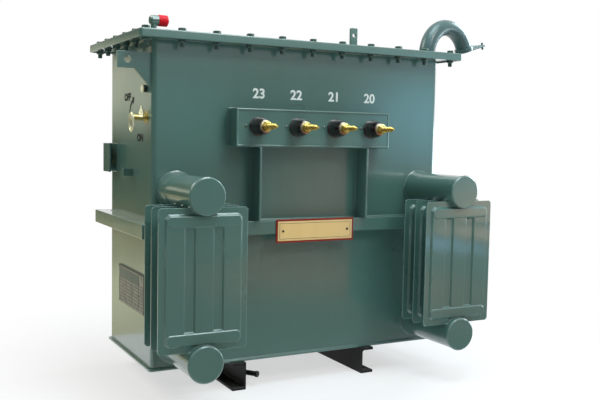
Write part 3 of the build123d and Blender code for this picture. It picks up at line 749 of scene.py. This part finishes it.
for share in column_shares:
    y = inner_low.y + (inner_high.y - inner_low.y) * share
    flat_panel(ruling, (rating_low.x, y - rule / 2, inner_low.z),
               (rating_low.x, y + rule / 2, inner_high.z), rule_rise, 0)
# A dark line along the top edge and the front edge is a painted shadow.
flat_panel(ruling, (rating_low.x, rating_low.y, rating_high.z - shadow_line),
           (rating_low.x, rating_high.y, rating_high.z), shadow_line_rise, 0)
flat_panel(ruling, rating_low, (rating_low.x, rating_low.y + shadow_line, rating_high.z),
           shadow_line_rise, 0)
new_piece("rating_plate_ruling", ruling, [etched_and_shadow_line, etched_block], sharp=30)
facing_left = Matrix.Rotation(-math.pi / 2, 4, "Y")
rivet_inset, rivet_radius, rivet_height, rivet_round = 0.006, 0.0022, 0.0014, 0.0008
rivets = bmesh.new()
for y in (rating_low.y + rivet_inset, rating_high.y - rivet_inset):
    for z in (rating_low.z + rivet_inset, rating_high.z - rivet_inset):
        spot = Matrix.Translation((rating_low.x, y, z)) @ facing_left
        add_disc(rivets, spot, rivet_radius, rivet_height, rivet_round, 12)
new_piece("rating_plate_rivets", rivets, [plated_steel])

# Lifting lugs. Flame-cut plates with an eye each stand on the walls at two opposite corners. They
# are welded along both sides.
lug_bead, lug_edge = 0.0024, 0.001
for end in ("front", "rear"):
    rounded_piece(f"lifting_lug_{end}", f"lifting_plate_{end}", tank_paint, lug_edge)
seams = bmesh.new()
for end, wall_x in (("front", shell_low.x), ("rear", shell_high.x)):
    low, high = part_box(f"lifting_lug_{end}")
    for y in (low.y, high.y):
        weld_line(seams, (wall_x, y, low.z), (wall_x, y, high.z), lug_bead)
new_piece("lifting_lug_welds", seams, [tank_paint])

# Breaker handle. A cast brass hub with a pointer cone turns in a brass bush through the wall,
# and ends in a long eye that an operating stick hooks.
cast_brass = machined("cast_brass", (234, 222, 158), (146, 124, 58), 0.22, 0.6, 1.0)
pale_brass = machined("pale_brass", (240, 240, 208), (176, 172, 120), 0.3, 0.5, 0.8, 0.7)
dress("breaker_bearing", cast_brass)
handle = rounded_piece("breaker_lever", "breaker_handle_casting", cast_brass, fine_edge,
                       body="breaker_lever")
# The eye and the faces above the hub's top take a paler brass.
handle.data.materials.append(pale_brass)
lever_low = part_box("breaker_lever")[0]
eye_depth, hub_top = 0.0085, 0.7375
for face in handle.data.polygons:
    if face.center.x < lever_low.x + eye_depth or face.center.z > hub_top:
        face.material_index = 1

# Breaker marks. A black arrow bent round the shaft and the words ON and OFF, brushed on the
# left wall through a stencil.
mark_paint = painted("mark_paint", (16, 18, 26), (34, 38, 46), gloss_loss=0.5,
                     Specular_IOR_Level=0.3)
wall_x = shell_low.x - paint_film
arrow_width, arrow_head_width, arrow_steps = 0.0075, 0.024, 14
tail, bend, neck, tip = (Vector((wall_x, y, z)) for y, z in (
    (0.0056, 0.741), (-0.001, 0.766), (-0.023, 0.774), (-0.0385, 0.781)))
arrow = bmesh.new()
last_pair = None
for i in range(arrow_steps + 1):
    share = i / arrow_steps
    middle = tail.lerp(bend, share).lerp(bend.lerp(neck, share), share)
    along = bend.lerp(neck, share) - tail.lerp(bend, share)
    across = along.cross(Vector((1, 0, 0))).normalized() * arrow_width / 2
    pair = [arrow.verts.new(middle - across), arrow.verts.new(middle + across)]
    if last_pair:
        arrow.faces.new((last_pair[0], last_pair[1], pair[1], pair[0]))
    last_pair = pair
across *= arrow_head_width / arrow_width
arrow.faces.new([arrow.verts.new(point) for point in (neck - across, neck + across, tip)])
bmesh.ops.recalc_face_normals(arrow, faces=arrow.faces)
for face in arrow.faces:
    if face.normal.x > 0:
        face.normal_flip()
new_piece("breaker_arrow", arrow, [mark_paint])
facing_left_upright = Matrix(((0, 0, -1, 0), (-1, 0, 0, 0), (0, 1, 0, 0), (0, 0, 0, 1)))
word_height, word_width, word_weight = 0.0185, 1.3, 0.055
for text, y, z in (("OFF", 0.024, 0.7766), ("ON", -0.091, 0.6665)):
    place = Matrix.Translation((wall_x, y, z)) @ facing_left_upright
    lettering(f"breaker_{text.lower()}_mark", text, place, word_height, mark_paint, word_width,
              word_weight)

# Signal lamp, bracket and tab on the left wall. The lamp has a dark body and a flat pale lens.
# The bracket is a folded strip with two yellow-plated bolts in it, and the tab takes a padlock.
lamp_body = painted("lamp_body", (28, 40, 34), (60, 78, 68), gloss_loss=0.3, wear=0.1, dust=0.1)
lens = bpy.data.materials.new("lamp_lens")
lens.use_nodes = True
tree = lens.node_tree
surface = tree.nodes["Principled BSDF"]
place = wire(tree, "TexCoord").outputs["Object"]
haze = ranged(tree, speckle(tree, place, 500.0), 0.3, 0.7, 0.08, 0.22)
tree.links.new(blended(tree, haze, srgb(226, 228, 196), srgb(190, 196, 150)),
               surface.inputs["Base Color"])
tree.links.new(haze, surface.inputs["Roughness"])
surface.inputs["Coat Weight"].default_value = 0.6
lamp_low, lamp_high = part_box("signal_lamp")
lamp_place = Matrix.Translation((shell_low.x, (lamp_low.y + lamp_high.y) / 2,
                                 (lamp_low.z + lamp_high.z) / 2)) @ facing_left
body_radius, body_length, lens_radius, lamp_length = 0.0095, 0.010, 0.011, 0.013
lens_gap, lens_bevel, lens_round = 0.0002, 0.0004, 0.0012
lamp = bmesh.new()
body_top = body_length - lens_gap
profile = [(0, 0), (body_radius, 0), (body_radius, body_top), (0, body_top)]
turned(lamp, lamp_place, profile, 32)
body_faces = len(lamp.faces)
profile = [(0, body_length), (lens_radius - lens_bevel, body_length)]
profile += arc((lens_radius - lens_round, lamp_length - lens_round), lens_round, 0, 80, 4)
profile += [(0, lamp_length)]
turned(lamp, lamp_place, profile, 32)
lamp.faces.ensure_lookup_table()
for face in lamp.faces[body_faces:]:
    face.material_index = 1
piece = new_piece("lamp_unit", lamp, [lamp_body, lens], sharp=50)
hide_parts("signal_lamp")
rounded_piece("side_bracket", "bracket_strip", tank_paint, plate_edge)
rounded_piece("side_tab", "padlock_tab", tank_paint, strip_edge)
bracket_low, bracket_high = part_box("side_bracket")
bracket_plate, bracket_bolt_gap, bracket_bead, tab_bead = 0.005, 0.023, 0.0018, 0.0014
bracket_washer_radius, bracket_washer, bracket_washer_ease = 0.0065, 0.0012, 0.0004
bracket_nut_width, bracket_nut_height, bracket_nut_chamfer = 0.01, 0.004, 0.0008
yellow_plating = machined("yellow_plating", (232, 222, 158), (168, 152, 96), 0.35, 0.4, 0.5, 0.35)
fixings = bmesh.new()
for side in (-1, 1):
    spot = Vector(((bracket_low.x + bracket_high.x) / 2, bracket_high.y - bracket_plate,
                   (bracket_low.z + bracket_high.z + side * bracket_bolt_gap) / 2))
    seat = Matrix.Translation(spot) @ upright_front
    add_disc(fixings, seat, bracket_washer_radius, bracket_washer, bracket_washer_ease, 16)
    add_hexagon(fixings, seat @ Matrix.Translation((0, 0, bracket_washer)), bracket_nut_width,
                bracket_nut_height, bracket_nut_chamfer)
new_piece("bracket_bolts", fixings, [yellow_plating], sharp=25)
seams = bmesh.new()
for y in (bracket_low.y, bracket_high.y):
    weld_line(seams, (shell_low.x, y, bracket_low.z), (shell_low.x, y, bracket_high.z),
              bracket_bead)
tab_low, tab_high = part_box("side_tab")
for y in (tab_low.y, tab_low.y + bracket_plate):
    weld_line(seams, (shell_low.x, y, tab_low.z), (shell_low.x, y, tab_high.z), tab_bead)
new_piece("bracket_welds", seams, [tank_paint])

# Fittings on the cover. A gooseneck vent bent from steel pipe with a clamped collar, a filling
# valve with a red plastic cap, and a plate to tie a cable to. All are welded down.
# The vent and clamp take the tank's green made darker and a little bluer, as painted shade.
shaded_vent_paint = painted("shaded_vent_paint", (62, 92, 92), (104, 138, 138), gloss_loss=0.3, wear=0.2,
                     dust=0.1, Specular_IOR_Level=0.4, Coat_Weight=0.25, Coat_Roughness=0.2)
rounded_piece("vent_pipe", "vent_gooseneck", shaded_vent_paint, plate_edge)
rounded_piece("vent_collar", "vent_clamp", shaded_vent_paint, strip_edge)
rounded_piece("filling_valve", "valve_body", tank_paint, strip_edge)
rounded_piece("cover_lug", "cable_plate", cover_paint, strip_edge)
red_cap = painted("red_cap", (232, 6, 30), (240, 60, 70), gloss_loss=0.42,
                  Specular_IOR_Level=0.25)
rounded_piece("valve_cap", "red_valve_cap", red_cap, fine_edge)
seams = bmesh.new()
vent_radius, vent_edge, vent_front = 0.02415, 0.073, 0.080
neck_radius, vent_bead, fitting_bead = 0.008, 0.0028, 0.002
vent_foot = (cover_high.x - vent_edge, cover_low.y + vent_front, cover_high.z)
weld_ring(seams, vent_foot, (0, 0, 1), vent_radius, vent_bead)
valve_low, valve_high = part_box("filling_valve")
valve_foot = ((valve_low.x + valve_high.x) / 2, (valve_low.y + valve_high.y) / 2, cover_high.z)
weld_ring(seams, valve_foot, (0, 0, 1), neck_radius, fitting_bead)
lug_low, lug_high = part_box("cover_lug")
for y in (lug_low.y, lug_high.y):
    weld_line(seams, (lug_low.x, y, cover_high.z), (lug_high.x, y, cover_high.z), fitting_bead)
new_piece("cover_fitting_welds", seams, [cover_paint])
cap_low, cap_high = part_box("valve_cap")
stop_radius, stop_height, stop_round = 0.006, 0.003, 0.0008
stop = bmesh.new()
cap_end = Matrix.Translation((cap_high.x, (cap_low.y + cap_high.y) / 2,
                              (cap_low.z + cap_high.z) / 2)) @ Matrix.Rotation(math.pi / 2, 4, "Y")
add_disc(stop, cap_end, stop_radius, stop_height, stop_round, 20)
new_piece("valve_cap_stop", stop, [base_paint])

# Drain pipe. A small bent pipe under the floor plate, closed by a plug. It is brushed black with
# the base channels.
rounded_piece("drain_pipe", "drain_tube", base_paint, strip_edge)

# Studio. A pale floor that fades to white, a white surround, and four soft lamps above, in front
# and at both sides. Toned cards round the tank show only as reflections in its gloss.
floor = bmesh.new()
bmesh.ops.create_grid(floor, x_segments=1, y_segments=1, size=12.0)
floor_mesh = mesh_of("studio_floor", floor)
placed("studio_floor", floor_mesh)
floor_finish = bpy.data.materials.new("studio_floor")
floor_finish.use_nodes = True
tree = floor_finish.node_tree
surface = tree.nodes["Principled BSDF"]
surface.inputs["Base Color"].default_value = (0.9, 0.9, 0.9, 1)
surface.inputs["Roughness"].default_value = 0.7
surface.inputs["Specular IOR Level"].default_value = 0.1
place = wire(tree, "TexCoord").outputs["Object"]
distance = wire(tree, "VectorMath", {0: place}, operation="LENGTH").outputs["Value"]
fade = ranged(tree, distance, 0.5, 1.2, 0.6, 1.0)


def seen_rays(tree):
    """Output that is 1 for what the camera, gloss and glass show, and 0 for light on the object."""
    rays = wire(tree, "LightPath").outputs
    seen = math_of(tree, "MAXIMUM", rays["Is Camera Ray"], rays["Is Glossy Ray"])
    return math_of(tree, "MAXIMUM", seen, rays["Is Transmission Ray"])


white = (1, 1, 1, 1)
glow = wire(tree, "Emission", {"Color": white, "Strength": 1.0}).outputs[0]
shown = wire(tree, "MixShader", {0: times(tree, fade, seen_rays(tree)), 1: surface.outputs[0],
                                 2: glow})
tree.links.new(shown.outputs[0], tree.nodes["Material Output"].inputs["Surface"])
floor_mesh.materials.append(floor_finish)

world = bpy.data.worlds.new("studio")
bpy.context.scene.world = world
world.use_nodes = True
tree = world.node_tree
background = tree.nodes["Background"].inputs
tree.links.new(ranged(tree, seen_rays(tree), 0, 1, 0.26, 1.0), background["Strength"])
background["Color"].default_value = white


def soft_lamp(name, place, target, size, power, colour):
    """Square soft lamp at a place, turned towards a target."""
    lamp = bpy.data.lights.new(name, "AREA")
    lamp.shape, lamp.size, lamp.energy, lamp.color = "SQUARE", size, power, colour
    holder = placed(name, lamp)
    holder.location = place
    aim = Vector(target) - Vector(place)
    holder.rotation_euler = aim.to_track_quat("-Z", "Y").to_euler()


soft_lamp("lamp_above", (0.2, -0.9, 3.0), (0, -0.1, 0.6), 1.5, 54, (0.74, 0.92, 1.0))
soft_lamp("lamp_right", (3.0, 0.2, 1.9), (0.2, -0.3, 0.5), 1.6, 72, (0.76, 0.92, 1.0))
soft_lamp("lamp_left", (-2.7, 1.2, 2.9), (-0.4, 0, 0.5), 1.6, 62, (1.0, 0.95, 0.82))
soft_lamp("lamp_front", (1.2, -3.7, 3.5), (0, 0, 0.5), 1.4, 70, (1.0, 0.98, 0.94))


def reflected_card(name, corners, tone, patches):
    """Card that only reflections show: one tone, with soft oval patches of other tones."""
    card = bmesh.new()
    card.faces.new([card.verts.new(corner) for corner in corners])
    mesh = mesh_of(name, card)
    holder = placed(name, mesh)
    for ray in ("camera", "diffuse", "transmission", "volume_scatter", "shadow"):
        setattr(holder, "visible_" + ray, False)
    material = bpy.data.materials.new(name)
    material.use_nodes = True
    tree = material.node_tree
    tree.nodes.remove(tree.nodes["Principled BSDF"])
    place = wire(tree, "TexCoord").outputs["Object"]
    shade = (*tone, 1)
    for centre, size, patch_tone in patches:
        offset = wire(tree, "VectorMath", {0: place, 1: centre}, operation="SUBTRACT").outputs[0]
        offset = wire(tree, "VectorMath", {0: offset, 1: [1 / length for length in size]},
                      operation="MULTIPLY").outputs[0]
        distance = wire(tree, "VectorMath", {0: offset}, operation="LENGTH").outputs["Value"]
        share = ranged(tree, distance, 0.3, 1.0, 1.0, 0.0)
        shade = blended(tree, share, shade, (*patch_tone, 1))
    glow = wire(tree, "Emission", {"Color": shade})
    tree.links.new(glow.outputs[0], tree.nodes["Material Output"].inputs["Surface"])
    mesh.materials.append(material)


reflected_card("card_front", ((-0.6, -4, 0), (6, -4, 0), (6, -4, 1.25), (-0.6, -4, 1.25)),
               (0.1, 0.08, 0.06),
               [((3.3, -4, 0.9), (0.9, 1, 0.6), (1.1, 2.3, 3.2)),
                ((3.7, -4, 0.1), (0.8, 1, 0.4), (2.8, 1.8, 1.3)),
                ((2.3, -4, 0.25), (0.7, 1, 0.5), (1.0, 0.25, 0.15)),
                ((1.05, -4, 1.1), (0.5, 1, 0.7), (0.2, 0.5, 0.6))])
reflected_card("card_floor", ((-3, -4, 0.004), (6, -4, 0.004), (6, -0.45, 0.004),
                              (-3, -0.45, 0.004)),
               (0.16, 0.1, 0.06),
               [((0.9, -1.9, 0), (0.8, 1.0, 1), (0.9, 0.25, 0.12)),
                ((2.25, -3.0, 0), (0.4, 0.8, 1), (0.9, 1.6, 2.6)),
                ((3.0, -3.2, 0), (0.5, 0.9, 1), (2.8, 1.8, 1.3))])
reflected_card("card_left", ((-3.6, -4, 0), (-0.6, -4, 0), (-0.6, -4, 2.2), (-3.6, -4, 2.2)),
               (0.05, 0.05, 0.04), [])
reflected_card("card_far_left", ((-3.6, 4, 0), (-3.6, -4, 0), (-3.6, -4, 2.2),
                                 (-3.6, 4, 2.2)),
               (0.05, 0.05, 0.04), [])
reflected_card("card_back_left", ((-4, 4, 0), (-0.5, 4, 0), (-0.5, 4, 2.4), (-4, 4, 2.4)),
               (0.05, 0.05, 0.02),
               [((-1.7, 4, 1.05), (1.6, 1, 0.42), (0.95, 0.92, 0.7)),
                ((-1.62, 4, 0.95), (0.07, 1, 0.34), (0.3, 0.3, 0.2)),
                ((-1.78, 4, 1.0), (0.05, 1, 0.3), (1.15, 1.15, 0.95)),
                ((-1.2, 4, 0), (0.6, 1, 0.25), (0.5, 0.45, 0.25))])
reflected_card("card_back_floor", ((-4, 0.5, 0.004), (-0.5, 0.5, 0.004), (-0.5, 4, 0.004),
                                   (-4, 4, 0.004)),
               (0.5, 0.45, 0.25), [((-0.9, 1.2, 0), (0.8, 1.2, 1), (0.85, 0.82, 0.55))])
reflected_card("card_right", ((4.5, -3.2, 0), (4.5, 2.5, 0), (4.5, 2.5, 0.8), (4.5, -3.2, 0.8)),
               (5.0, 6.2, 7.0), [])

# Camera. It stands front left of the tank at about two thirds of its height, looks slightly down
# and is a little turned about its own axis.
camera_place = Vector((-1.0933, -2.1932, 0.6797))
yaw, pitch, roll = (math.radians(angle) for angle in (28.252, -4.260, 1.083))
focal_pixels, image_pixels, sensor_width = 819, 600, 36
forward = Vector((math.sin(yaw) * math.cos(pitch), math.cos(yaw) * math.cos(pitch),
                  math.sin(pitch)))
right = Vector((math.cos(yaw), -math.sin(yaw), 0))
above = right.cross(forward)
tilted_right = right * math.cos(roll) + above * math.sin(roll)
tilted_up = above * math.cos(roll) - right * math.sin(roll)
camera = bpy.data.cameras.new("camera")
camera.sensor_width = sensor_width
camera.lens = focal_pixels / image_pixels * sensor_width
holder = placed("camera", camera)
axes = Matrix((tilted_right, tilted_up, -forward)).transposed().to_4x4()
holder.matrix_world = Matrix.Translation(camera_place) @ axes
bpy.context.scene.camera = holder
bpy.context.scene.view_settings.view_transform = "Standard"

bpy.context.view_layer.update()
